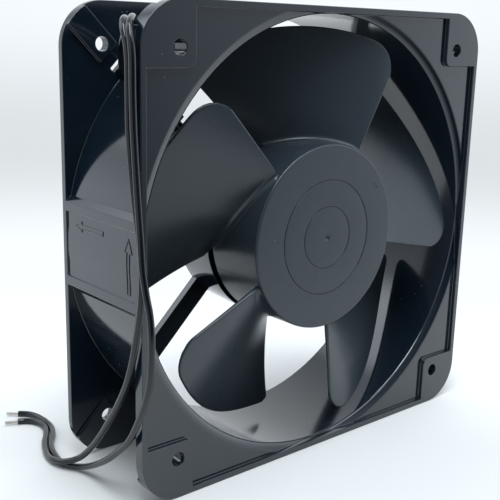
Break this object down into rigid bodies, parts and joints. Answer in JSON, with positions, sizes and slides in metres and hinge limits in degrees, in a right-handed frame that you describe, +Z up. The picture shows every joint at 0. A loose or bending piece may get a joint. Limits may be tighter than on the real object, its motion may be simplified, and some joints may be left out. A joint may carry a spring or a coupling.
{
  "type": "axial cooling fan",
  "caption": "Square axial cooling fan: black cast frame with bell mouth and screw flanges, wide twisted blades round a shaded-pole motor hub, two free lead wires.",
  "frame": {"origin": "centre of the square frame on the fan's axis, at mid-depth", "axes": "+Z up as the fan stands on its lower edges, +Y along the air flow out of the rear, +X to the right seen from the intake side"},
  "size_m": [0.2109, 0.13, 0.2],
  "materials": {
    "frame_paint": "gloss",
    "impeller_plastic": "satin",
    "black_plastic": "satin",
    "rubber": "matte",
    "wire_insulation": "satin",
    "tinned_copper": "satin",
    "steel": "satin",
    "bearing_steel": "polished",
    "spring_steel": "satin",
    "laminations": "satin",
    "bobbin_nylon": "satin",
    "copper": "satin",
    "board": "satin",
    "brass": "satin",
    "cast_aluminium": "satin"
  },
  "bodies": {
    "housing": {"frame": "frame_paint", "wire_clip": "black_plastic", "wire_grommet": "rubber", "bearing_cap": "black_plastic", "bearing_tube": "steel", "wave_spring": "spring_steel", "front_outer_ring": "bearing_steel", "front_shields": "steel", "rear_outer_ring": "bearing_steel", "rear_shields": "steel", "stator_core": "laminations", "coil_bobbins": "bobbin_nylon", "stator_coils": "copper", "shading_rings": "copper", "terminal_board": "board", "terminal_pins": "brass", "inner_leads": "wire_insulation", "lead_wire_left": "wire_insulation", "lead_wire_right": "wire_insulation", "lead_tip_left": "tinned_copper", "lead_tip_right": "tinned_copper"},
    "rotor": {"impeller": "impeller_plastic", "rotor_can": "steel", "rotor_core": "laminations", "squirrel_cage": "cast_aluminium", "shaft": "bearing_steel", "shaft_boss": "brass", "spacer_washers": "steel", "retaining_ring": "spring_steel", "front_inner_ring": "bearing_steel", "rear_inner_ring": "bearing_steel"},
    "front_ball_set": {"front_balls": "bearing_steel", "front_ball_cage": "brass"},
    "rear_ball_set": {"rear_balls": "bearing_steel", "rear_ball_cage": "brass"}
  },
  "joints": [
    {"name": "rotor_spin", "type": "hinge", "parent": "housing", "child": "rotor", "pos_m": [0, 0, 0], "axis": [0, 1, 0], "continuous": true},
    {"name": "front_cage_spin", "type": "hinge", "parent": "housing", "child": "front_ball_set", "pos_m": [0, -0.016, 0], "axis": [0, 1, 0], "continuous": true},
    {"name": "rear_cage_spin", "type": "hinge", "parent": "housing", "child": "rear_ball_set", "pos_m": [0, 0.015, 0], "axis": [0, 1, 0], "continuous": true}
  ],
  "couplings": [
    {"joint": "front_cage_spin", "follows": "rotor_spin", "ratio": 0.368},
    {"joint": "rear_cage_spin", "follows": "rotor_spin", "ratio": 0.368}
  ]
}
